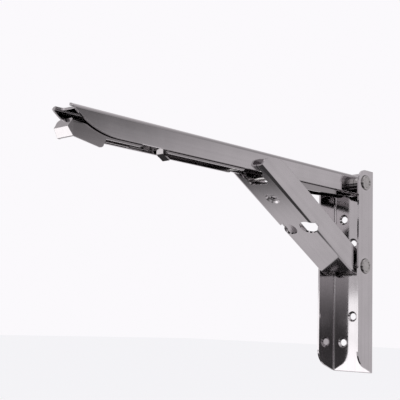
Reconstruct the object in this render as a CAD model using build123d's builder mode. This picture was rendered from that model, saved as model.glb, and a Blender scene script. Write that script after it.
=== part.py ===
from build123d import *
import math
import os

os.makedirs("parts", exist_ok=True)

# Folding shelf bracket, built open (arm level, brace locked under it).
# Millimetres. X runs across the bracket, the wall is the plane Y = 0, the arm reaches
# out along -Y, Z is up, and Z = 0 is the height of the arm's hinge pin.

# Clearances
RUN_GAP = 0.05          # pin to bore, on the radius
FACE_GAP = 0.15         # between faces that slide on each other
SEAT = 0.0              # faces that are clamped or welded together
BEYOND = 4.0            # how far a cutter runs past what it cuts

# Sheet
SHEET = 1.5
BEND_INNER = 1.4
LEVER_SHEET = 1.2
LEVER_BEND = 1.5

# Arm
ARM_WIDTH = 20.4
ARM_TOP = 7.2
ARM_BOTTOM = -7.8
ARM_TIP_Y = -300.0
ARM_HEEL_R = 9.9        # the arm's wall end is an arc about its own hinge
ARM_NOSE_R = 57.6       # sweep of the flanges up to the tip
ARM_TIP_LIP = 1.5       # what is left of the flanges at the tip, from the top down
ARM_RECESS_HALF = 6.6
ARM_RECESS_DEPTH = 6.0
ARM_RECESS_ROUND = 3.0
SHELF_SCREW_Y = (-85.0, -140.0, -195.0, -250.0)

# Brace, in its own frame: S runs along it from its hinge, N stands off its web
BRACE_RISE = 30.4       # degrees above level
BRACE_WIDTH = 32.0
BRACE_WEB_N = -10.0
BRACE_EDGE_N = 7.5
BRACE_WEB_S = 7.5
BRACE_END_S = 138.9     # cut off square here
BRACE_HEAD_R = 25.5
BRACE_HEAD_RUN = 21.7   # length of the head's arc along S, up to that end
BRACE_FOOT_R = 7.5
NOTCH_S = 119.5
NOTCH_LEVER_GAP = 0.6
NOTCH_STEP_S = 129.2
NOTCH_ARM_GAP = 0.3
NOTCH_ROUND = 1.0
ACCESS_S = 66.0
ACCESS_HALF_X = 9.3
ACCESS_R = 7.0
ACCESS_DEPTH = 3.6
DIMPLE_S = 102.5
DIMPLE_R = 5.7
DIMPLE_DEPTH = 1.5
DIMPLE_TAPER = 42.0
DIMPLE_HOLE_R = 2.6

# Washers between the brace and the wall channel, and under the clenched rivet ends
WASHER_R = 6.0
WASHER_T = 1.55
BACKING_T = 0.9

# Wall channel
WALL_WIDTH = BRACE_WIDTH + 2 * (FACE_GAP + WASHER_T + SHEET)
WALL_DEPTH = 22.0
WALL_HEIGHT = 160.0
WALL_TOP = 10.0
WALL_BOTTOM = WALL_TOP - WALL_HEIGHT
WALL_TOP_ROUND = 9.0
WALL_FOOT_ROUND = 13.0
WALL_FOOT_SLOPE = 20.0
HINGE_Y = -12.5         # both hinges stand this far off the wall
BRACE_HINGE_Z = -66.6

# Screw holes, alike in the wall channel and the arm
SCREW_R = 2.6
SCREW_HEAD_R = 4.2
SCREW_SINK_ANGLE = 110.0
PAIR_HALF_X = 9.0
PAIR_TOP_Z = -27.0
PAIR_LOW_Z = WALL_BOTTOM + 23.0
MIDDLE_TOP_Z = -47.0
MIDDLE_LOW_Z = WALL_BOTTOM + 44.0

# Slide pin, welded between the brace's flanges just under the arm
SLIDE_R = 2.0
SLIDE_WEB_GAP = 1.45
SLIDE_ARM_GAP = 0.2

# Release lever, inside the arm and hinged on the arm's own pin
LEVER_SIDE_GAP = 1.2    # to the arm's flange on either side
LEVER_EAR_R = 4.6
LEVER_WEB_TAIL_Y = -24.0
LEVER_WEB_TAIL_Z = 3.6
LEVER_HEEL_R = 10.4     # the flanges' wall end is an arc about the hinge
LEVER_EDGE_Z = -9.3     # flange edges, just below the arm's
LEVER_HIGH_Z = -6.8     # where they are cut back out of sight
STAY_Y = -148.3         # rod between the flanges
STAY_Z = -7.2
STAY_R = 1.5
STAY_COLLAR_R = 2.2
STAY_COLLAR_T = 0.8
PIN_RUN_START_Y = STAY_Y + 1.2  # the edges are cut back from here to the deep lobes
HOOK_R = 2.35
HOOK_SLOPE = 24.0
HOOK_EDGE_Z = -9.9
HOOK_LEAD = 3.0
LOBE_START_Y = -64.0    # deep part of the flanges between the slide pin and the hinge
LOBE_END_Y = -83.0
LOBE_Z = -12.7
LOBE_STEP = 4.0

# Lever nose, its distances measured back from the arm's tip
NOSE_TOP_BACK = 3.0
NOSE_TOP_Z = -0.7
NOSE_LIP_OUT = 0.4
NOSE_LIP_Z = -6.3
NOSE_CHAMFER = 2.2
NOSE_CHAMFER_RUN = 3.4
PLATE_FRONT_BACK = 3.0  # finger plate, on the +X flange alone
PLATE_FRONT_Z = -11.4
PLATE_REAR_BACK = 25.2
PLATE_REAR_Z = -15.1
PLATE_END_BACK = 27.8
PLATE_ROUND = 2.2
SHALLOW_START_BACK = 4.6    # the other flange is shallow as far as the stop tab
SHALLOW_Z = -7.4
SHALLOW_RISE_Z = -5.5

# Relief in the lever's flanges before its stop tab
TAB_FRONT_Y = -221.2
RELIEF_END_Y = TAB_FRONT_Y - 3.8
RELIEF_START_Y = RELIEF_END_Y - 19.5
RELIEF_SLOPE = 3.5
TAB_HALF = 3.1
TAB_BEND_Z = -9.1
TAB_FOOT_RUN = 5.8
TAB_FOOT_Z = -12.6
TAB_WINDOW_GAP = 0.5
TAB_WINDOW = 14.0
DRIVER_R = 4.4

# Pins, rivets
ARM_PIN_R = 3.0
BRACE_PIN_R = 2.5
HEAD_R = 5.7
HEAD_T = 1.4
HEAD_EDGE = 0.4
HEAD_DISH_R = 4.5
HEAD_DISH_T = 0.6
SPACER_R = 4.2
EAR_SPACER_WALL = 1.2
CLENCH_R = 4.2
CLENCH_T = 1.3

# Lever spring, a bowed leaf between the arm's web and the lever's web
LEAF_T = 0.5
LEAF_HALF = 4.0
LEAF_ARM_Y = -72.0
LEAF_LEVER_Y = -32.0
LEAF_FLAT = 9.0
LEAF_CURL = 3.0
LEAF_EYELET_R = 1.5
LEAF_EYELET_RIM = 0.9

LEVER_WIDTH = ARM_WIDTH - 2 * (SHEET + LEVER_SIDE_GAP)
RISE = math.radians(BRACE_RISE)
ALONG = Vector(0, -math.cos(RISE), math.sin(RISE))
OFF_WEB = Vector(0, math.sin(RISE), math.cos(RISE))
BRACE_HINGE = Vector(0, HINGE_Y, BRACE_HINGE_Z)
ACROSS = Vector(1, 0, 0)

# Sketch planes. On each of them local x and y read as the comment says.
side = Plane.YZ                                                          # Y, Z
wall_face = Plane(origin=(0, -SHEET, 0), x_dir=(1, 0, 0), z_dir=(0, -1, 0))  # X, Z
arm_section_plane = Plane.XZ.offset(-HINGE_Y - ARM_HEEL_R)               # X, Z
arm_top_plane = Plane.XY.offset(ARM_TOP)                                 # X, Y
arm_under_plane = Plane(origin=(0, 0, ARM_TOP - SHEET), x_dir=(1, 0, 0), z_dir=(0, 0, -1))
brace_side = Plane(origin=BRACE_HINGE, x_dir=ALONG, z_dir=(-1, 0, 0))    # S, N
brace_section_plane = Plane(origin=BRACE_HINGE, x_dir=ACROSS, z_dir=ALONG)   # X, N
brace_web_plane = Plane(
    origin=BRACE_HINGE + OFF_WEB * BRACE_WEB_N, x_dir=ACROSS, z_dir=OFF_WEB * -1
)                                                                        # X, S
brace_web_inner_plane = Plane(
    origin=BRACE_HINGE + OFF_WEB * (BRACE_WEB_N + SHEET), x_dir=ACROSS, z_dir=OFF_WEB
)                                                                        # X, -S
arm_pin_plane = Plane(origin=(0, HINGE_Y, 0), x_dir=(1, 0, 0), z_dir=(0, -1, 0))
arm_pin_axis = Axis((0, HINGE_Y, 0), (1, 0, 0))
brace_pin_plane = Plane(origin=BRACE_HINGE, x_dir=(1, 0, 0), z_dir=(0, -1, 0))
brace_pin_axis = Axis(BRACE_HINGE, ACROSS)

# ---------------------------------------------------------------- wall channel
with BuildPart() as wall_channel:
    # folded sheet: web on the wall, flanges towards the room
    with BuildSketch(Plane.XY.offset(WALL_BOTTOM)) as wall_section:
        Rectangle(WALL_WIDTH, WALL_DEPTH, align=(Align.CENTER, Align.MAX))
        fillet(wall_section.vertices().group_by(Axis.Y)[-1], BEND_INNER + SHEET)
    extrude(amount=WALL_TOP - WALL_BOTTOM)
    with BuildSketch(Plane.XY.offset(WALL_BOTTOM)) as wall_hollow:
        with Locations((0, -SHEET)):
            Rectangle(WALL_WIDTH - 2 * SHEET, WALL_DEPTH, align=(Align.CENTER, Align.MAX))
        fillet(wall_hollow.vertices().group_by(Axis.Y)[-1], BEND_INNER)
    extrude(amount=WALL_TOP - WALL_BOTTOM, mode=Mode.SUBTRACT)
    # side outline: rounded shoulder, foot swept back to the wall
    foot_rise = WALL_DEPTH * math.tan(math.radians(WALL_FOOT_SLOPE))
    with BuildSketch(side) as wall_outline:
        with BuildLine():
            Polyline(
                (0, WALL_TOP),
                (-WALL_DEPTH, WALL_TOP),
                (-WALL_DEPTH, WALL_BOTTOM + foot_rise),
                (0, WALL_BOTTOM),
                close=True,
            )
        make_face()
        room_corners = wall_outline.vertices().group_by(Axis.X)[0].sort_by(Axis.Y)
        fillet(room_corners[-1], WALL_TOP_ROUND)
        fillet(wall_outline.vertices().group_by(Axis.X)[0].sort_by(Axis.Y)[0], WALL_FOOT_ROUND)
    extrude(amount=WALL_WIDTH, both=True, mode=Mode.INTERSECT)
    # hinge pin holes through both flanges
    with BuildSketch(side):
        with Locations((HINGE_Y, 0)):
            Circle(ARM_PIN_R)
        with Locations((HINGE_Y, BRACE_HINGE_Z)):
            Circle(BRACE_PIN_R)
    extrude(amount=WALL_WIDTH, both=True, mode=Mode.SUBTRACT)
    # countersunk screw holes, four in pairs and two on the middle line
    with Locations(wall_face):
        with Locations(
            (PAIR_HALF_X, PAIR_TOP_Z),
            (-PAIR_HALF_X, PAIR_TOP_Z),
            (PAIR_HALF_X, PAIR_LOW_Z),
            (-PAIR_HALF_X, PAIR_LOW_Z),
            (0, MIDDLE_TOP_Z),
            (0, MIDDLE_LOW_Z),
        ):
            CounterSinkHole(SCREW_R, SCREW_HEAD_R, depth=SHEET, counter_sink_angle=SCREW_SINK_ANGLE)
wall_channel.part.label = "wall_channel"

# ---------------------------------------------------------------- arm channel
arm_length = -ARM_TIP_Y + HINGE_Y + ARM_HEEL_R
arm_height = ARM_TOP - ARM_BOTTOM
with BuildPart() as arm_channel:
    # folded sheet: web up against the shelf, flanges down
    with BuildSketch(arm_section_plane) as arm_section:
        with Locations((0, ARM_TOP)):
            Rectangle(ARM_WIDTH, arm_height, align=(Align.CENTER, Align.MAX))
        fillet(arm_section.vertices().group_by(Axis.Y)[-1], BEND_INNER + SHEET)
    extrude(amount=arm_length)
    with BuildSketch(arm_section_plane) as arm_hollow:
        with Locations((0, ARM_TOP - SHEET)):
            Rectangle(ARM_WIDTH - 2 * SHEET, arm_height, align=(Align.CENTER, Align.MAX))
        fillet(arm_hollow.vertices().group_by(Axis.Y)[-1], BEND_INNER)
    extrude(amount=arm_length, mode=Mode.SUBTRACT)
    # side outline: round heel about the hinge, flanges sweeping up to the tip
    heel_top_y = HINGE_Y + math.sqrt(ARM_HEEL_R**2 - ARM_TOP**2)
    heel_low_y = HINGE_Y + math.sqrt(ARM_HEEL_R**2 - ARM_BOTTOM**2)
    sweep_z = ARM_BOTTOM + ARM_NOSE_R
    sweep_end_z = ARM_TOP - ARM_TIP_LIP
    sweep_turn = math.acos((sweep_z - sweep_end_z) / ARM_NOSE_R)
    sweep_y = ARM_TIP_Y + ARM_NOSE_R * math.sin(sweep_turn)
    with BuildSketch(side) as arm_outline:
        with BuildLine():
            ThreePointArc((heel_low_y, ARM_BOTTOM), (HINGE_Y + ARM_HEEL_R, 0), (heel_top_y, ARM_TOP))
            Line((heel_top_y, ARM_TOP), (ARM_TIP_Y, ARM_TOP))
            Line((ARM_TIP_Y, ARM_TOP), (ARM_TIP_Y, sweep_end_z))
            ThreePointArc(
                (ARM_TIP_Y, sweep_end_z),
                (
                    sweep_y - ARM_NOSE_R * math.sin(sweep_turn / 2),
                    sweep_z - ARM_NOSE_R * math.cos(sweep_turn / 2),
                ),
                (sweep_y, ARM_BOTTOM),
            )
            Line((sweep_y, ARM_BOTTOM), (heel_low_y, ARM_BOTTOM))
        make_face()
    extrude(amount=ARM_WIDTH, both=True, mode=Mode.INTERSECT)
    # recess in the web's end, room for the lever's nose to rise
    with BuildSketch(arm_top_plane) as arm_recess:
        with Locations((0, ARM_TIP_Y - BEYOND)):
            Rectangle(
                2 * ARM_RECESS_HALF, ARM_RECESS_DEPTH + BEYOND, align=(Align.CENTER, Align.MIN)
            )
        fillet(arm_recess.vertices().group_by(Axis.Y)[-1], ARM_RECESS_ROUND)
    extrude(amount=-SHEET - BEND_INNER, mode=Mode.SUBTRACT)
    # bores for the hinge pin
    with BuildSketch(side):
        with Locations((HINGE_Y, 0)):
            Circle(ARM_PIN_R + RUN_GAP)
    extrude(amount=ARM_WIDTH, both=True, mode=Mode.SUBTRACT)
    # shelf screw holes, countersunk from below
    with Locations(arm_under_plane):
        with Locations(*[(0, -y) for y in SHELF_SCREW_Y]):
            CounterSinkHole(SCREW_R, SCREW_HEAD_R, depth=SHEET, counter_sink_angle=SCREW_SINK_ANGLE)
arm_channel.part.label = "arm_channel"

# ---------------------------------------------------------------- brace channel
brace_height = BRACE_EDGE_N - BRACE_WEB_N
brace_foot_plane = brace_section_plane.offset(-BRACE_FOOT_R)
head_n = BRACE_EDGE_N - BRACE_HEAD_R
head_s = BRACE_END_S - BRACE_HEAD_RUN
head_turn = math.asin(BRACE_HEAD_RUN / BRACE_HEAD_R)
notch_half = LEVER_WIDTH / 2 + NOTCH_LEVER_GAP
notch_step_half = ARM_WIDTH / 2 + NOTCH_ARM_GAP
with BuildPart() as brace_channel:
    # folded sheet: web down and out, flanges up, wider than the arm
    with BuildSketch(brace_foot_plane) as brace_section:
        with Locations((0, BRACE_WEB_N)):
            Rectangle(BRACE_WIDTH, brace_height, align=(Align.CENTER, Align.MIN))
        fillet(brace_section.vertices().group_by(Axis.Y)[0], BEND_INNER + SHEET)
    extrude(amount=BRACE_END_S + BRACE_FOOT_R)
    with BuildSketch(brace_foot_plane) as brace_hollow:
        with Locations((0, BRACE_WEB_N + SHEET)):
            Rectangle(BRACE_WIDTH - 2 * SHEET, brace_height, align=(Align.CENTER, Align.MIN))
        fillet(brace_hollow.vertices().group_by(Axis.Y)[0], BEND_INNER)
    extrude(amount=BRACE_END_S + BRACE_FOOT_R, mode=Mode.SUBTRACT)
    # side outline: round foot about the hinge, straight edge, swept head with a square end
    with BuildSketch(brace_side):
        with BuildLine():
            Line((BRACE_WEB_S, BRACE_WEB_N), (BRACE_END_S, BRACE_WEB_N))
            Line((BRACE_END_S, BRACE_WEB_N), (BRACE_END_S, head_n + BRACE_HEAD_R * math.cos(head_turn)))
            ThreePointArc(
                (BRACE_END_S, head_n + BRACE_HEAD_R * math.cos(head_turn)),
                (
                    head_s + BRACE_HEAD_R * math.sin(head_turn / 2),
                    head_n + BRACE_HEAD_R * math.cos(head_turn / 2),
                ),
                (head_s, BRACE_EDGE_N),
            )
            Line((head_s, BRACE_EDGE_N), (0, BRACE_FOOT_R))
            ThreePointArc((0, BRACE_FOOT_R), (-BRACE_FOOT_R, 0), (0, -BRACE_FOOT_R))
            Line((0, -BRACE_FOOT_R), (BRACE_WEB_S, BRACE_WEB_N))
        make_face()
    extrude(amount=BRACE_WIDTH, both=True, mode=Mode.INTERSECT)
    # the web stops square above the foot, only the flanges go on round the rivets
    with BuildSketch(brace_web_plane):
        with Locations((0, BRACE_WEB_S)):
            Rectangle(
                BRACE_WIDTH - 2 * SHEET, BRACE_WEB_S + BRACE_FOOT_R + BEYOND, align=(Align.CENTER, Align.MAX)
            )
    extrude(amount=-SHEET - BEND_INNER, mode=Mode.SUBTRACT)
    # notch in the web's head that clears the arm and lets the lever reach the slide pin
    with BuildSketch(brace_web_plane) as brace_notch:
        with Locations((0, NOTCH_S)):
            Rectangle(2 * notch_half, BRACE_END_S - NOTCH_S + BEYOND, align=(Align.CENTER, Align.MIN))
        fillet(brace_notch.vertices().group_by(Axis.Y)[0], NOTCH_ROUND)
        with Locations((0, NOTCH_STEP_S)):
            Rectangle(
                2 * notch_step_half, BRACE_END_S - NOTCH_STEP_S + BEYOND, align=(Align.CENTER, Align.MIN)
            )
    extrude(amount=-SHEET - BEND_INNER, mode=Mode.SUBTRACT)
    # two screwdriver holes that break into the bends
    with BuildSketch(brace_web_plane):
        with Locations((ACCESS_HALF_X, ACCESS_S), (-ACCESS_HALF_X, ACCESS_S)):
            Circle(ACCESS_R)
    extrude(amount=-ACCESS_DEPTH, mode=Mode.SUBTRACT)
    # dimple pressed inwards, pierced in its middle
    with BuildSketch(brace_web_inner_plane):
        with Locations((0, -DIMPLE_S)):
            Circle(DIMPLE_R)
    extrude(amount=DIMPLE_DEPTH, taper=DIMPLE_TAPER)
    with BuildSketch(brace_web_plane):
        with Locations((0, DIMPLE_S)):
            Circle(DIMPLE_R)
    extrude(amount=-DIMPLE_DEPTH, taper=DIMPLE_TAPER, mode=Mode.SUBTRACT)
    with BuildSketch(brace_web_plane):
        with Locations((0, DIMPLE_S)):
            Circle(DIMPLE_HOLE_R)
    extrude(amount=-SHEET - DIMPLE_DEPTH - BEYOND, mode=Mode.SUBTRACT)
    # bores for the brace rivets
    with BuildSketch(side):
        with Locations((HINGE_Y, BRACE_HINGE_Z)):
            Circle(BRACE_PIN_R + RUN_GAP)
    extrude(amount=BRACE_WIDTH, both=True, mode=Mode.SUBTRACT)
brace_channel.part.label = "brace_channel"

# ---------------------------------------------------------------- slide pin
slide_n = BRACE_WEB_N + SHEET + SLIDE_R + SLIDE_WEB_GAP
slide_z = ARM_BOTTOM - SLIDE_R - SLIDE_ARM_GAP
slide_s = (slide_z - BRACE_HINGE_Z - slide_n * math.cos(RISE)) / math.sin(RISE)
slide_y = HINGE_Y - slide_s * math.cos(RISE) + slide_n * math.sin(RISE)
with BuildPart() as slide_pin:
    with BuildSketch(side):
        with Locations((slide_y, slide_z)):
            Circle(SLIDE_R)
    extrude(amount=BRACE_WIDTH / 2 - SHEET - SEAT, both=True)
slide_pin.part.label = "slide_pin"

# ---------------------------------------------------------------- release lever
nose_top_y = ARM_TIP_Y + NOSE_TOP_BACK
nose_lip_y = ARM_TIP_Y - NOSE_LIP_OUT
plate_front_y = ARM_TIP_Y + PLATE_FRONT_BACK
web_slope = (LEVER_WEB_TAIL_Z - NOSE_TOP_Z) / (LEVER_WEB_TAIL_Y - nose_top_y)
web_z = LEVER_WEB_TAIL_Z + web_slope * (HINGE_Y - LEVER_WEB_TAIL_Y)
hook_angle = math.radians(HOOK_SLOPE)
hook_leave_y = slide_y - HOOK_R * math.sin(hook_angle)
hook_leave_z = slide_z + HOOK_R * math.cos(hook_angle)
hook_end_y = hook_leave_y - (hook_leave_z - HOOK_EDGE_Z) / math.tan(hook_angle)
lever_half = LEVER_WIDTH / 2
lever_slope = math.atan(web_slope)
lever_depth = LEVER_WEB_TAIL_Z - PLATE_REAR_Z + BEYOND
lever_reach = (HINGE_Y - nose_lip_y) / math.cos(lever_slope) + BEYOND
lever_section_plane = Plane(
    origin=(0, HINGE_Y, web_z), x_dir=ACROSS, z_dir=(0, -math.cos(lever_slope), -math.sin(lever_slope))
)                                                                        # X, up off the web

# what the folded lever is hollow of: open below and at the tail, closed by the nose
with BuildPart() as lever_hollow:
    with BuildSketch(lever_section_plane) as lever_void:
        with Locations((0, -LEVER_SHEET)):
            Rectangle(LEVER_WIDTH - 2 * LEVER_SHEET, 2 * lever_depth, align=(Align.CENTER, Align.MAX))
        fillet(lever_void.vertices().group_by(Axis.Y)[-1], LEVER_BEND)
    extrude(amount=lever_reach)
    with BuildSketch(side):
        with BuildLine():
            Polyline(
                (HINGE_Y, ARM_TOP),
                (nose_top_y + LEVER_SHEET, ARM_TOP),
                (nose_top_y + LEVER_SHEET, NOSE_TOP_Z - LEVER_SHEET),
                (nose_lip_y + LEVER_SHEET, NOSE_LIP_Z),
                (plate_front_y + LEVER_SHEET, PLATE_FRONT_Z),
                (plate_front_y + LEVER_SHEET, PLATE_REAR_Z - BEYOND),
                (HINGE_Y, PLATE_REAR_Z - BEYOND),
                close=True,
            )
        make_face()
    extrude(amount=LEVER_WIDTH, both=True, mode=Mode.INTERSECT)

with BuildPart() as release_lever:
    # folded sheet: web under the arm's web, flanges down, open at the tail
    with BuildSketch(lever_section_plane) as lever_section:
        Rectangle(LEVER_WIDTH, 2 * lever_depth, align=(Align.CENTER, Align.MAX))
        fillet(lever_section.vertices().group_by(Axis.Y)[-1], LEVER_BEND + LEVER_SHEET)
    extrude(amount=lever_reach)
    with BuildSketch(side) as lever_outline:
        with BuildLine():
            Polyline(
                (HINGE_Y, web_z),
                (nose_top_y, NOSE_TOP_Z),
                (nose_lip_y, NOSE_LIP_Z),
                (plate_front_y, PLATE_FRONT_Z),
                (ARM_TIP_Y + PLATE_REAR_BACK, PLATE_REAR_Z),
                (ARM_TIP_Y + PLATE_END_BACK, LEVER_EDGE_Z),
                (RELIEF_START_Y, LEVER_EDGE_Z),
                (RELIEF_START_Y + RELIEF_SLOPE, LEVER_HIGH_Z),
                (RELIEF_END_Y, LEVER_HIGH_Z),
                (RELIEF_END_Y + RELIEF_SLOPE, LEVER_EDGE_Z),
                (PIN_RUN_START_Y, LEVER_EDGE_Z),
                (PIN_RUN_START_Y + RELIEF_SLOPE / 2, LEVER_HIGH_Z),
                (LOBE_END_Y - LOBE_STEP, LEVER_HIGH_Z),
                (LOBE_END_Y, LOBE_Z),
                (LOBE_START_Y, LOBE_Z),
                (HINGE_Y, -LEVER_HEEL_R),
                (HINGE_Y, web_z),
                close=True,
            )
        make_face()
        plate_corners = lever_outline.vertices().group_by(Axis.Y)[0]
        fillet(plate_corners, PLATE_ROUND)
    extrude(amount=LEVER_WIDTH, both=True, mode=Mode.INTERSECT)
    # the other flange has no finger plate and stays shallow as far as the stop tab
    with BuildSketch(side):
        with BuildLine():
            Polyline(
                (ARM_TIP_Y + SHALLOW_START_BACK, PLATE_REAR_Z - BEYOND),
                (ARM_TIP_Y + SHALLOW_START_BACK, SHALLOW_Z),
                (RELIEF_END_Y - RELIEF_SLOPE, SHALLOW_Z),
                (TAB_FRONT_Y + RELIEF_SLOPE, SHALLOW_RISE_Z),
                (TAB_FRONT_Y + 2 * RELIEF_SLOPE, LEVER_EDGE_Z - BEYOND),
                close=True,
            )
        make_face()
    extrude(amount=-LEVER_WIDTH, mode=Mode.SUBTRACT)
    # but it alone has the hook, which drops over the slide pin
    with BuildSketch(side.offset(-lever_half)):
        with BuildLine():
            Polyline(
                (hook_end_y - 2 * HOOK_LEAD, LEVER_HIGH_Z + HOOK_LEAD),
                (hook_end_y - 2 * HOOK_LEAD, LEVER_HIGH_Z),
                (hook_end_y - HOOK_LEAD, HOOK_EDGE_Z),
                (hook_end_y, HOOK_EDGE_Z),
                (hook_leave_y, hook_leave_z),
            )
            ThreePointArc(
                (hook_leave_y, hook_leave_z),
                (slide_y + HOOK_R * math.sin(RISE), slide_z + HOOK_R * math.cos(RISE)),
                (slide_y + HOOK_R, slide_z),
            )
            Polyline(
                (slide_y + HOOK_R, slide_z),
                (slide_y + HOOK_R + HOOK_LEAD, slide_z),
                (slide_y + HOOK_R + 2 * HOOK_LEAD, LEVER_HIGH_Z),
                (slide_y + HOOK_R + 2 * HOOK_LEAD, LEVER_HIGH_Z + HOOK_LEAD),
                (hook_end_y - 2 * HOOK_LEAD, LEVER_HIGH_Z + HOOK_LEAD),
            )
        make_face()
    extrude(amount=LEVER_SHEET)
    # nose corners pressed flat
    with BuildSketch(Plane.XY.offset(PLATE_REAR_Z - BEYOND)):
        with BuildLine():
            Polyline(
                (lever_half, nose_lip_y + NOSE_CHAMFER_RUN),
                (lever_half - NOSE_CHAMFER, nose_lip_y - BEYOND),
                (lever_half + BEYOND, nose_lip_y - BEYOND),
                (lever_half + BEYOND, nose_lip_y + NOSE_CHAMFER_RUN),
                close=True,
            )
        make_face()
        mirror(about=Plane.YZ)
    extrude(amount=2 * lever_depth, mode=Mode.SUBTRACT)
    add(lever_hollow.part, mode=Mode.SUBTRACT)
    # the web stops short of the hinge, only the ears go on
    with BuildSketch(side):
        with Locations((LEVER_WEB_TAIL_Y, 0)):
            Rectangle(-LEVER_WEB_TAIL_Y, 2 * lever_depth, align=(Align.MIN, Align.CENTER))
    extrude(amount=lever_half - LEVER_SHEET, both=True, mode=Mode.SUBTRACT)
    for face_x in (lever_half - LEVER_SHEET, -lever_half):
        with BuildSketch(side.offset(face_x)):
            with BuildLine():
                heel_arc = ThreePointArc(
                    (HINGE_Y, -LEVER_HEEL_R),
                    (HINGE_Y + LEVER_HEEL_R * math.sqrt(0.5), -LEVER_HEEL_R * math.sqrt(0.5)),
                    (HINGE_Y + LEVER_HEEL_R, 0),
                )
                Line(heel_arc @ 1, (HINGE_Y, LEVER_EAR_R))
                Line((HINGE_Y, LEVER_EAR_R), heel_arc @ 0)
            make_face()
        extrude(amount=LEVER_SHEET)
    # window left by the stop tab, and screwdriver holes under the shelf screws
    with BuildSketch(Plane.XY):
        with Locations((0, TAB_FRONT_Y + LEVER_SHEET)):
            Rectangle(
                2 * (TAB_HALF + TAB_WINDOW_GAP),
                TAB_WINDOW,
                align=(Align.CENTER, Align.MIN),
            )
        with Locations(*[(0, y) for y in SHELF_SCREW_Y]):
            Circle(DRIVER_R)
    extrude(amount=LEVER_EAR_R, both=True, mode=Mode.SUBTRACT)
    # stop tab, lanced out of the web and bent down and back
    tab_root_z = LEVER_WEB_TAIL_Z + web_slope * (TAB_FRONT_Y - LEVER_WEB_TAIL_Y) - LEVER_SHEET / 2
    tab_turn = math.atan2(TAB_BEND_Z - TAB_FOOT_Z, TAB_FOOT_RUN)
    with BuildSketch(side) as tab_outline:
        with BuildLine():
            Polyline(
                (TAB_FRONT_Y, tab_root_z),
                (TAB_FRONT_Y, TAB_BEND_Z),
                (TAB_FRONT_Y + TAB_FOOT_RUN, TAB_FOOT_Z),
                (
                    TAB_FRONT_Y + TAB_FOOT_RUN + LEVER_SHEET * math.sin(tab_turn),
                    TAB_FOOT_Z + LEVER_SHEET * math.cos(tab_turn),
                ),
                (
                    TAB_FRONT_Y + LEVER_SHEET,
                    TAB_BEND_Z + LEVER_SHEET * (1 - math.sin(tab_turn)) / math.cos(tab_turn),
                ),
                (TAB_FRONT_Y + LEVER_SHEET, tab_root_z),
                close=True,
            )
        make_face()
    extrude(amount=TAB_HALF, both=True)
    # bores in the ears
    with BuildSketch(side):
        with Locations((HINGE_Y, 0)):
            Circle(ARM_PIN_R + RUN_GAP)
    extrude(amount=LEVER_WIDTH, both=True, mode=Mode.SUBTRACT)
release_lever.part.label = "release_lever"

# ---------------------------------------------------------------- lever stay
with BuildPart() as lever_stay:
    # collared rod clenched between the lever's flanges
    with BuildSketch(side):
        with Locations((STAY_Y, STAY_Z)):
            Circle(STAY_R)
    extrude(amount=lever_half - LEVER_SHEET - SEAT, both=True)
    with BuildSketch(side.offset(lever_half - LEVER_SHEET - SEAT)):
        with Locations((STAY_Y, STAY_Z)):
            Circle(STAY_COLLAR_R)
    extrude(amount=-STAY_COLLAR_T)
    mirror(about=Plane.YZ)
lever_stay.part.label = "lever_stay"

# ---------------------------------------------------------------- arm pin and its spacers
wall_half = WALL_WIDTH / 2
wall_inner_half = wall_half - SHEET
arm_half = ARM_WIDTH / 2
with BuildPart() as arm_pin:
    # through shank, a dished head outside each flange
    with BuildSketch(arm_pin_plane) as arm_pin_profile:
        with BuildLine():
            Polyline(
                (-wall_half - HEAD_T, 0),
                (-wall_half - HEAD_T, HEAD_R - HEAD_EDGE),
                (-wall_half - HEAD_T + HEAD_EDGE, HEAD_R),
                (-wall_half, HEAD_R),
                (-wall_half, ARM_PIN_R),
                (wall_half, ARM_PIN_R),
                (wall_half, HEAD_R),
                (wall_half + HEAD_T - HEAD_EDGE, HEAD_R),
                (wall_half + HEAD_T, HEAD_R - HEAD_EDGE),
                (wall_half + HEAD_T, HEAD_DISH_R),
                (wall_half + HEAD_T - HEAD_DISH_T, HEAD_DISH_R - HEAD_DISH_T),
                (wall_half + HEAD_T - HEAD_DISH_T, 0),
                close=True,
            )
        make_face()
    revolve(axis=arm_pin_axis)
arm_pin.part.label = "arm_pin"

with BuildPart() as near_arm_spacer:
    with BuildSketch(side.offset(arm_half + FACE_GAP)):
        with Locations((HINGE_Y, 0)):
            Circle(SPACER_R)
            Circle(ARM_PIN_R, mode=Mode.SUBTRACT)
    extrude(amount=wall_inner_half - arm_half - FACE_GAP)
near_arm_spacer.part.label = "near_arm_spacer"

with BuildPart() as far_arm_spacer:
    add(mirror(near_arm_spacer.part, about=Plane.YZ, mode=Mode.PRIVATE))
far_arm_spacer.part.label = "far_arm_spacer"

ear_inner_half = lever_half - LEVER_SHEET
with BuildPart() as ear_spacer:
    # tube on the pin that keeps the lever's ears apart
    with BuildSketch(side):
        with Locations((HINGE_Y, 0)):
            Circle(ARM_PIN_R + EAR_SPACER_WALL)
            Circle(ARM_PIN_R, mode=Mode.SUBTRACT)
    extrude(amount=ear_inner_half - FACE_GAP, both=True)
ear_spacer.part.label = "ear_spacer"

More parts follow.
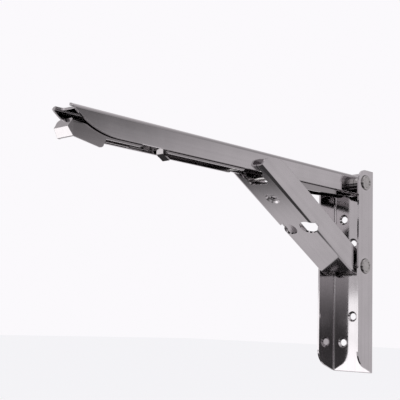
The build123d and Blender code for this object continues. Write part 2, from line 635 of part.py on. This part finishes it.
# ---------------------------------------------------------------- brace rivets and washers
brace_half = BRACE_WIDTH / 2
brace_inner_half = brace_half - SHEET
backing_inner = brace_inner_half - FACE_GAP - BACKING_T
with BuildPart() as near_brace_rivet:
    with BuildSketch(brace_pin_plane):
        with BuildLine():
            Polyline(
                (backing_inner - CLENCH_T, 0),
                (backing_inner - CLENCH_T, CLENCH_R),
                (backing_inner, CLENCH_R),
                (backing_inner, BRACE_PIN_R),
                (wall_half, BRACE_PIN_R),
                (wall_half, HEAD_R),
                (wall_half + HEAD_T - HEAD_EDGE, HEAD_R),
                (wall_half + HEAD_T, HEAD_R - HEAD_EDGE),
                (wall_half + HEAD_T, HEAD_DISH_R),
                (wall_half + HEAD_T - HEAD_DISH_T, HEAD_DISH_R - HEAD_DISH_T),
                (wall_half + HEAD_T - HEAD_DISH_T, 0),
                close=True,
            )
        make_face()
    revolve(axis=brace_pin_axis)
near_brace_rivet.part.label = "near_brace_rivet"

with BuildPart() as far_brace_rivet:
    add(mirror(near_brace_rivet.part, about=Plane.YZ, mode=Mode.PRIVATE))
far_brace_rivet.part.label = "far_brace_rivet"

with BuildPart() as near_brace_washer:
    # fills the gap between the brace's flange and the wall channel's
    with BuildSketch(side.offset(brace_half + FACE_GAP)):
        with Locations((HINGE_Y, BRACE_HINGE_Z)):
            Circle(WASHER_R)
            Circle(BRACE_PIN_R, mode=Mode.SUBTRACT)
    extrude(amount=wall_inner_half - brace_half - FACE_GAP)
near_brace_washer.part.label = "near_brace_washer"

with BuildPart() as far_brace_washer:
    add(mirror(near_brace_washer.part, about=Plane.YZ, mode=Mode.PRIVATE))
far_brace_washer.part.label = "far_brace_washer"

with BuildPart() as near_backing_washer:
    # under the rivet's clenched end, inside the brace
    with BuildSketch(side.offset(backing_inner)):
        with Locations((HINGE_Y, BRACE_HINGE_Z)):
            Circle(WASHER_R)
            Circle(BRACE_PIN_R, mode=Mode.SUBTRACT)
    extrude(amount=BACKING_T)
near_backing_washer.part.label = "near_backing_washer"

with BuildPart() as far_backing_washer:
    add(mirror(near_backing_washer.part, about=Plane.YZ, mode=Mode.PRIVATE))
far_backing_washer.part.label = "far_backing_washer"

# ---------------------------------------------------------------- lever spring
arm_under_z = ARM_TOP - SHEET
leaf_lever_z = LEVER_WEB_TAIL_Z + web_slope * (LEAF_LEVER_Y - LEVER_WEB_TAIL_Y)
with BuildPart() as lever_spring:
    # eyeleted flat to the arm's web at one end, sprung down onto the lever at the other
    with BuildSketch(side):
        with BuildLine():
            Polyline(
                (LEAF_ARM_Y, arm_under_z),
                (LEAF_ARM_Y, arm_under_z - LEAF_T),
                (LEAF_ARM_Y + LEAF_FLAT, arm_under_z - LEAF_T),
                (LEAF_LEVER_Y, leaf_lever_z),
                (LEAF_LEVER_Y + LEAF_CURL, leaf_lever_z + LEAF_T),
                (LEAF_LEVER_Y + LEAF_CURL, leaf_lever_z + 2 * LEAF_T),
                (LEAF_LEVER_Y, leaf_lever_z + LEAF_T),
                (LEAF_ARM_Y + LEAF_FLAT, arm_under_z),
                close=True,
            )
        make_face()
    extrude(amount=LEAF_HALF, both=True)
    with BuildSketch(Plane.XY.offset(arm_under_z)):
        with Locations((0, LEAF_ARM_Y + LEAF_FLAT / 2)):
            Circle(LEAF_EYELET_R)
    extrude(amount=-LEAF_T, mode=Mode.SUBTRACT)
lever_spring.part.label = "lever_spring"

with BuildPart() as spring_eyelet:
    # clenched through the leaf; its stub is set flush in the arm's web
    with BuildSketch(Plane.XY.offset(arm_under_z)):
        with Locations((0, LEAF_ARM_Y + LEAF_FLAT / 2)):
            Circle(LEAF_EYELET_R)
    extrude(amount=-LEAF_T)
    with BuildSketch(Plane.XY.offset(arm_under_z - LEAF_T)):
        with Locations((0, LEAF_ARM_Y + LEAF_FLAT / 2)):
            Circle(LEAF_EYELET_R + LEAF_EYELET_RIM)
    extrude(amount=-LEAF_T)
spring_eyelet.part.label = "spring_eyelet"

# ---------------------------------------------------------------- one file for each piece
export_step(wall_channel.part, "parts/wall_channel.step")
export_step(arm_channel.part, "parts/arm_channel.step")
export_step(brace_channel.part, "parts/brace_channel.step")
export_step(slide_pin.part, "parts/slide_pin.step")
export_step(release_lever.part, "parts/release_lever.step")
export_step(lever_stay.part, "parts/lever_stay.step")
export_step(arm_pin.part, "parts/arm_pin.step")
export_step(near_arm_spacer.part, "parts/near_arm_spacer.step")
export_step(far_arm_spacer.part, "parts/far_arm_spacer.step")
export_step(ear_spacer.part, "parts/ear_spacer.step")
export_step(near_brace_rivet.part, "parts/near_brace_rivet.step")
export_step(far_brace_rivet.part, "parts/far_brace_rivet.step")
export_step(near_brace_washer.part, "parts/near_brace_washer.step")
export_step(far_brace_washer.part, "parts/far_brace_washer.step")
export_step(near_backing_washer.part, "parts/near_backing_washer.step")
export_step(far_backing_washer.part, "parts/far_backing_washer.step")
export_step(lever_spring.part, "parts/lever_spring.step")
export_step(spring_eyelet.part, "parts/spring_eyelet.step")
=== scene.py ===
import math

import bpy
from mathutils import Matrix, Vector


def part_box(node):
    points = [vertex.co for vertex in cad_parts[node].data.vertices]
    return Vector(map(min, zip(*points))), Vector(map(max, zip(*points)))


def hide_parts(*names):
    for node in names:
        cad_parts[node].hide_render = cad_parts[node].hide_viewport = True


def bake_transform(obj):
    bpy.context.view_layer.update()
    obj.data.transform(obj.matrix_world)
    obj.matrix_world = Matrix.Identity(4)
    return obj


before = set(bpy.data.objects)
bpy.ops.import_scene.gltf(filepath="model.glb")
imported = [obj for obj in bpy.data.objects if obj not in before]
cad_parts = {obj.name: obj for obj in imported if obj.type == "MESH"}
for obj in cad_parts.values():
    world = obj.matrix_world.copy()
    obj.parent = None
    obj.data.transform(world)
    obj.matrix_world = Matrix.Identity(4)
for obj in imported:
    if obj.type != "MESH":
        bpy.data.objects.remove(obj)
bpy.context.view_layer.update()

# Folding shelf bracket in polished sheet steel. Metres. The wall plane is Y = 0, the arm
# reaches out along -Y, and Z = 0 is the height of the arm's hinge pin.

# steels
SHEET_TONE = (0.60, 0.582, 0.592)
LEVER_TONE = (0.40, 0.385, 0.39)
PIN_TONE = (0.52, 0.51, 0.50)
SPRING_TONE = (0.34, 0.35, 0.38)
WALL_TURN = 90.0  # degrees from the arm's length to the piece's own, in side view
BRACE_TURN = 30.4
SHEET_EDGE_R = 0.00028  # sheared edges are worn round
PIN_EDGE_R = 0.0002
SHEET_RELIEF = 0.00002  # depth of the rolling lines
PIN_RELIEF = 0.00003
LINE_STRETCH = 0.012
SEAM_GRIME_AND_SHADE_START = 0.00025  # dark line round a head, grime and painted shade in the crease, measured from its rim
SEAM_GRIME_AND_SHADE_END = 0.0008
SEAM_GRIME_AND_SHADE_STRENGTH = 0.85
LIGHT_BAND_START = 0.0065  # radius where the bright band round a head fades
LIGHT_BAND_END = 0.0085
LIGHT_BAND_STRENGTH = 0.25
TAB_FRONT_Y = -0.2212
TAB_FRONT_NEAR = 0.0003  # the tab's front face is within this of TAB_FRONT_Y
TAB_FRONT_FAR = 0.0005
TAB_RAKE = 0.30

# leaf spring
LEAF_FLAT = 0.009  # length that lies flat under the eyelet
LEAF_CURL = 0.003  # length of the curled end on the lever
LEAF_CUTS = 12

# studio
FLOOR_Z = -0.45
FLOOR_SIZE = 30.0
BACKDROP = (0.964, 0.947, 0.973, 1.0)
ROOM_FILL = (0.68, 0.68, 0.69, 1.0)  # what matt surfaces are lit by
FLOOR_TONE = (0.50, 0.50, 0.505, 1.0)
FLOOR_GLOW = (0.97, 0.96, 0.99, 1.0)
FLOOR_GLOW_STRENGTH = 0.58
FRONT_LEFT = (-0.56, -0.83)  # level directions, from the bracket
FRONT_RIGHT = (0.58, -0.81)
BACK_RIGHT = (0.69, 0.72)
SOFTBOXES = (
    # name, place, aim, width, height, surface brightness
    ("front_softbox", (-0.73, -1.09, -0.17), (0.0, 0.0, -0.17), 1.0, 0.26, 0.90),
    ("floor_softbox", (-0.585, -0.615, -0.35), (0.0, -0.3, 0.0), 0.18, 0.14, 1.9),
    ("top_softbox", (0.1, -0.2, 1.3), (0.0, -0.15, -0.05), 1.2, 1.2, 0.5),
)

# camera
CAMERA_PLACE = (0.40033, -0.59801, -0.11668)
CAMERA_TURN = math.radians(43.94)
CAMERA_LIFT = math.radians(8.16)
CAMERA_ROLL = math.radians(1.86)
CAMERA_LENS = 78.4
CAMERA_SENSOR = 36.0


# ------------------------------------------------------------------ shader maths
class Wire:
    """A node's output, with Python's arithmetic on it."""

    def __init__(self, tree, socket=None):
        self.tree = tree
        self.socket = socket

    def node(self, kind, settings=None, values=None, output=0):
        """Adds a node, sets it, feeds its sockets, and gives one of its outputs."""
        made = self.tree.nodes.new(kind)
        for name, value in (settings or {}).items():
            setattr(made, name, value)
        for name, value in (values or {}).items():
            if isinstance(value, Wire):
                self.tree.links.new(value.socket, made.inputs[name])
            else:
                made.inputs[name].default_value = value
        return Wire(self.tree, made.outputs[output])

    def beside(self, output):
        """Another output of the same node."""
        return Wire(self.tree, self.socket.node.outputs[output])

    def math(self, operation, first, second=0.0):
        return self.node("ShaderNodeMath", {"operation": operation}, {0: first, 1: second})

    def __add__(self, other):
        return self.math("ADD", self, other)

    __radd__ = __add__

    def __mul__(self, other):
        return self.math("MULTIPLY", self, other)

    __rmul__ = __mul__

    def __sub__(self, other):
        return self.math("SUBTRACT", self, other)

    def __rsub__(self, other):
        return self.math("SUBTRACT", other, self)

    def __truediv__(self, other):
        return self.math("DIVIDE", self, other)

    def between(self, low, high):
        """0 below low, 1 above high, and smooth from one to the other."""
        return self.node(
            "ShaderNodeMapRange",
            {"interpolation_type": "SMOOTHSTEP"},
            {"Value": self, "From Min": low, "From Max": high},
        )


def axes(wire, vector):
    """The three parts of a vector."""
    x = wire.node("ShaderNodeSeparateXYZ", {}, {"Vector": vector})
    return x, x.beside("Y"), x.beside("Z")


def length(wire, first, second):
    return wire.math("SQRT", first * first + second * second)


def noise(wire, place, scale, detail, roughness):
    return wire.node(
        "ShaderNodeTexNoise",
        {},
        {"Vector": place, "Scale": scale, "Detail": detail, "Roughness": roughness},
    )


def mix_colour(wire, share, first, second):
    """first where share is 0, second where it is 1."""
    return wire.node(
        "ShaderNodeMix", {"data_type": "RGBA"}, {"Factor": share, 6: first, 7: second}, output=2
    )


def shaded(tone, share):
    """A darker or lighter kind of the tone."""
    return tuple(min(1.0, part * share) for part in tone) + (1.0,)


def bumped(wire, normal, height, strength, distance):
    return wire.node(
        "ShaderNodeBump",
        {},
        {"Strength": strength, "Distance": distance, "Height": height, "Normal": normal},
    )


def new_material(name):
    material = bpy.data.materials.new(name)
    material.use_nodes = True
    tree = material.node_tree
    tree.nodes.clear()
    return material, Wire(tree)


def show(wire, shader, output_kind="ShaderNodeOutputMaterial"):
    out = wire.tree.nodes.new(output_kind)
    wire.tree.links.new(shader.socket, out.inputs["Surface"])


# ------------------------------------------------------------------ steel
def polished_metal(wire, colour, roughness, normal):
    shader = wire.node(
        "ShaderNodeBsdfPrincipled",
        {},
        {"Base Color": colour, "Metallic": 1.0, "Roughness": roughness, "Normal": normal},
    )
    show(wire, shader)


def head_circle(node_name):
    """The middle of a pin's head, in Y and Z, and its radius."""
    low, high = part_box(node_name)
    return (low[1] + high[1]) / 2.0, (low[2] + high[2]) / 2.0, (high[2] - low[2]) / 2.0


def head_mark(wire, place, circle, tone, colour):
    """A dark line where a head is pressed on the sheet, part grime and part painted shade in the
    crease, and a lighter band round it.
    """
    head_y, head_z, head_r = circle
    _, y, z = axes(wire, place)
    away = length(wire, y - head_y, z - head_z)
    # the dark ring in the crease round the head is grime and painted shade
    seam_grime_and_shade = 1.0 - away.between(head_r + SEAM_GRIME_AND_SHADE_START, head_r + SEAM_GRIME_AND_SHADE_END)
    fading = 1.0 - away.between(LIGHT_BAND_START, LIGHT_BAND_END)
    band = away.between(head_r, head_r + 0.001) * fading
    colour = mix_colour(wire, seam_grime_and_shade * SEAM_GRIME_AND_SHADE_STRENGTH, colour, shaded(tone, 0.22))
    return mix_colour(wire, band * LIGHT_BAND_STRENGTH, colour, shaded(tone, 1.15))


def raked_front(wire, place, front_y, normal):
    """Bumps the tab's front so that it shades as if it leaned back a little towards its foot."""
    _, y, z = axes(wire, place)
    off = wire.math("ABSOLUTE", y - front_y)
    lean = (1.0 - off.between(TAB_FRONT_NEAR, TAB_FRONT_FAR)) * z * TAB_RAKE
    return bumped(wire, normal, lean, strength=1.0, distance=1.0)


def rolled_steel(name, tone, roughness, turn=0.0, grain=1.0, heads=(), raked_y=None):
    """Polished sheet: faint rolling lines along the piece, soft wipe marks, worn edges."""
    material, wire = new_material(name)
    place = wire.node("ShaderNodeTexCoord", output="Object")
    rotation = (math.radians(turn), 0.0, 0.0)
    along = wire.node("ShaderNodeMapping", {}, {"Vector": place, "Rotation": rotation})
    # the turned Y runs along the piece, so the lines are long in Y
    scale = (1.0, LINE_STRETCH, 1.0)
    stretched = wire.node("ShaderNodeMapping", {}, {"Vector": along, "Scale": scale})
    lines = noise(wire, stretched, scale=2600.0, detail=3.0, roughness=0.6)
    bands = noise(wire, stretched, scale=420.0, detail=2.0, roughness=0.5)
    clouds = noise(wire, place, scale=38.0, detail=4.0, roughness=0.55)
    specks = noise(wire, place, scale=900.0, detail=2.0, roughness=0.6)

    share = clouds.between(0.30, 0.70) * 0.5 + bands.between(0.3, 0.7) * 0.35 + lines * 0.15
    colour = mix_colour(wire, share, shaded(tone, 0.90), shaded(tone, 1.05))
    for circle in heads:
        colour = head_mark(wire, place, circle, tone, colour)

    rough = roughness + clouds.between(0.35, 0.75) * 0.05 + (lines - 0.5) * (0.06 * grain)
    rough = rough + specks.between(0.62, 0.75) * 0.06

    normal = wire.node("ShaderNodeBevel", {"samples": 4}, {"Radius": SHEET_EDGE_R})
    if raked_y is not None:
        normal = raked_front(wire, place, raked_y, normal)
    relief = lines * 0.6 + bands * 0.4
    normal = bumped(wire, normal, relief, strength=0.05 * grain, distance=SHEET_RELIEF)
    polished_metal(wire, colour, rough, normal)
    return material


def pin_stock(name, tone, roughness):
    """Cold-headed pins and spring leaf: a little duller than the sheet, with a fine grain."""
    material, wire = new_material(name)
    place = wire.node("ShaderNodeTexCoord", output="Object")
    grain = noise(wire, place, scale=1500.0, detail=3.0, roughness=0.6)
    clouds = noise(wire, place, scale=160.0, detail=3.0, roughness=0.5)
    colour = mix_colour(wire, clouds.between(0.3, 0.7), shaded(tone, 0.86), shaded(tone, 1.05))
    rough = roughness + (grain - 0.5) * 0.12
    normal = wire.node("ShaderNodeBevel", {"samples": 4}, {"Radius": PIN_EDGE_R})
    normal = bumped(wire, normal, grain, strength=0.08, distance=PIN_RELIEF)
    polished_metal(wire, colour, rough, normal)
    return material


wall_heads = (head_circle("arm_pin"), head_circle("near_brace_rivet"))
wall_steel = rolled_steel(
    "wall_channel_steel", SHEET_TONE, roughness=0.07, turn=WALL_TURN, heads=wall_heads
)
arm_steel = rolled_steel("arm_channel_steel", SHEET_TONE, roughness=0.07)
brace_steel = rolled_steel("brace_channel_steel", SHEET_TONE, roughness=0.08, turn=BRACE_TURN)
lever_steel = rolled_steel(
    "lever_steel", LEVER_TONE, roughness=0.08, grain=0.7, raked_y=TAB_FRONT_Y
)
pin_steel = pin_stock("pin_steel", PIN_TONE, roughness=0.20)
spring_steel = pin_stock("spring_steel", SPRING_TONE, roughness=0.25)

finishes = {
    "wall_channel": wall_steel,
    "arm_channel": arm_steel,
    "brace_channel": brace_steel,
    "release_lever": lever_steel,
    "lever_spring": spring_steel,
}
for node_name, node_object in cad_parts.items():
    steel = finishes.get(node_name, pin_steel)
    if not node_object.material_slots:
        node_object.data.materials.append(steel)
    for material_slot in node_object.material_slots:
        material_slot.material = steel


# ------------------------------------------------------------------ lever spring
def leaf_spring(steel):
    """The bowed leaf: riveted to the arm at one end, and carried up by the lever at the other."""
    low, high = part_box("lever_spring")
    leaf = bpy.data.objects.new("leaf_spring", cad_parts["lever_spring"].data.copy())
    bpy.context.scene.collection.objects.link(leaf)
    bpy.ops.object.select_all(action="DESELECT")
    leaf.select_set(True)
    bpy.context.view_layer.objects.active = leaf
    bpy.ops.object.mode_set(mode="EDIT")
    bpy.ops.mesh.select_all(action="SELECT")
    bpy.ops.mesh.remove_doubles(threshold=0.00001)
    bend_start = low[1] + LEAF_FLAT
    bend_end = high[1] - LEAF_CURL
    for cut in range(1, LEAF_CUTS):
        bpy.ops.mesh.select_all(action="SELECT")
        across = bend_start + (bend_end - bend_start) * cut / LEAF_CUTS
        bpy.ops.mesh.bisect(plane_co=(0.0, across, 0.0), plane_no=(0.0, 1.0, 0.0))
    bpy.ops.object.mode_set(mode="OBJECT")
    bpy.ops.object.shade_smooth_by_angle(angle=math.radians(30.0))
    leaf.data.materials.clear()
    leaf.data.materials.append(steel)
    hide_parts("lever_spring")
    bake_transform(leaf)


leaf_spring(spring_steel)


# ------------------------------------------------------------------ studio
def seen_rays(wire):
    """Two shares: what the camera sees straight, and what it sees mirrored or through glass."""
    camera_rays = wire.node("ShaderNodeLightPath", output="Is Camera Ray")
    mirrored = camera_rays.beside("Is Glossy Ray") + camera_rays.beside("Is Transmission Ray")
    return camera_rays, wire.math("MINIMUM", mirrored, 1.0)


def faint_tint(wire, tone):
    """A grey of this tone, as warm as the room."""
    return wire.node(
        "ShaderNodeCombineColor",
        {},
        {"Red": tone, "Green": tone * 0.955, "Blue": tone * 0.985},
    )


def facing(x, y, direction):
    """How nearly the level way (x, y) points in the direction: 1 when it does."""
    return x * direction[0] + y * direction[1]


def glowing(wire, colour, strength):
    return wire.node("ShaderNodeEmission", {}, {"Color": colour, "Strength": strength})


def studio_world():
    """White surroundings, with the softer grey sides of the room that polished steel picks up."""
    world = bpy.data.worlds.new("studio")
    bpy.context.scene.world = world
    world.use_nodes = True
    world.node_tree.nodes.clear()
    wire = Wire(world.node_tree)
    x, y, z = axes(wire, wire.node("ShaderNodeTexCoord", output="Generated"))
    # each side of the room starts at one cosine and is full at the next
    back_right = facing(x, y, BACK_RIGHT).between(0.30, 0.85)
    front_left = facing(x, y, FRONT_LEFT).between(0.45, 0.90)
    front_right = facing(x, y, FRONT_RIGHT).between(0.74, 0.97)
    low = 1.0 - z.between(-0.01, 0.12)
    high = z.between(0.18, 0.34)
    right_ledge = x.between(0.60, 0.76) * z.between(0.165, 0.235)
    tone = 1.0 - back_right * 0.34 - front_left * 0.35 - front_right * low * 0.93
    tone = tone - high * 0.25 - right_ledge * 0.40
    camera_rays, mirrored_rays = seen_rays(wire)
    colour = mix_colour(wire, mirrored_rays, ROOM_FILL, faint_tint(wire, tone))
    colour = mix_colour(wire, camera_rays, colour, BACKDROP)
    background = wire.node("ShaderNodeBackground", {}, {"Color": colour, "Strength": 1.0})
    show(wire, background, "ShaderNodeOutputWorld")


def pale_floor():
    """A pale floor that keeps the bracket's shadow; polished steel also picks up a dark mat."""
    bpy.ops.object.select_all(action="DESELECT")
    bpy.ops.mesh.primitive_plane_add(size=FLOOR_SIZE, location=(0.0, 0.0, FLOOR_Z))
    floor = bpy.context.object
    floor.name = "studio_floor"
    material, wire = new_material("pale_floor")
    x, y, _ = axes(wire, wire.node("ShaderNodeTexCoord", output="Object"))
    # the mat lies under the arm, in front of the brace's foot
    mat_x = x.between(-0.62, -0.50) * (1.0 - x.between(0.34, 0.50))
    mat_y = y.between(-0.55, -0.42) * (1.0 - y.between(-0.01, 0.07))
    reach = length(wire, x, y)
    front_right = (facing(x, y, FRONT_RIGHT) / reach).between(0.74, 0.97)
    front_right = front_right * reach.between(0.5, 1.2)
    left = 1.0 - x.between(-3.0, -0.8)
    tone = 0.66 - mat_x * mat_y * 0.60 - front_right * 0.58 + left * 0.22
    camera_rays, mirrored_rays = seen_rays(wire)
    matt = wire.node("ShaderNodeBsdfDiffuse", {}, {"Color": FLOOR_TONE})
    glow = glowing(wire, FLOOR_GLOW, camera_rays * FLOOR_GLOW_STRENGTH)
    pale = wire.node("ShaderNodeAddShader", {}, {0: matt, 1: glow})
    mirrored = glowing(wire, faint_tint(wire, tone), 1.0)
    show(wire, wire.node("ShaderNodeMixShader", {}, {0: mirrored_rays, 1: pale, 2: mirrored}))
    floor.data.materials.append(material)


def softbox(name, place, aim, width, height, brightness):
    """A rectangular lamp, unseen by the camera."""
    light = bpy.data.lights.new(name, "AREA")
    light.shape = "RECTANGLE"
    light.size = width
    light.size_y = height
    light.energy = brightness * math.pi * width * height
    lamp = bpy.data.objects.new(name, light)
    bpy.context.scene.collection.objects.link(lamp)
    lamp.location = place
    lamp.rotation_euler = (Vector(aim) - Vector(place)).to_track_quat("-Z", "Y").to_euler()
    lamp.visible_camera = False


studio_world()
pale_floor()
for row in SOFTBOXES:
    softbox(*row)

# ------------------------------------------------------------------ camera
camera_data = bpy.data.cameras.new("camera")
camera_data.sensor_width = CAMERA_SENSOR
camera_data.lens = CAMERA_LENS
camera = bpy.data.objects.new("camera", camera_data)
bpy.context.scene.collection.objects.link(camera)
forward = Vector(
    (
        -math.sin(CAMERA_TURN) * math.cos(CAMERA_LIFT),
        math.cos(CAMERA_TURN) * math.cos(CAMERA_LIFT),
        math.sin(CAMERA_LIFT),
    )
)
level = Vector((math.cos(CAMERA_TURN), math.sin(CAMERA_TURN), 0.0))
upright = level.cross(forward)
right = math.cos(CAMERA_ROLL) * level + math.sin(CAMERA_ROLL) * upright
up = -math.sin(CAMERA_ROLL) * level + math.cos(CAMERA_ROLL) * upright
stance = Matrix((right, up, -forward)).transposed().to_4x4()
camera.matrix_world = Matrix.Translation(CAMERA_PLACE) @ stance
bpy.context.scene.camera = camera

scene = bpy.context.scene
scene.view_settings.view_transform = "Standard"
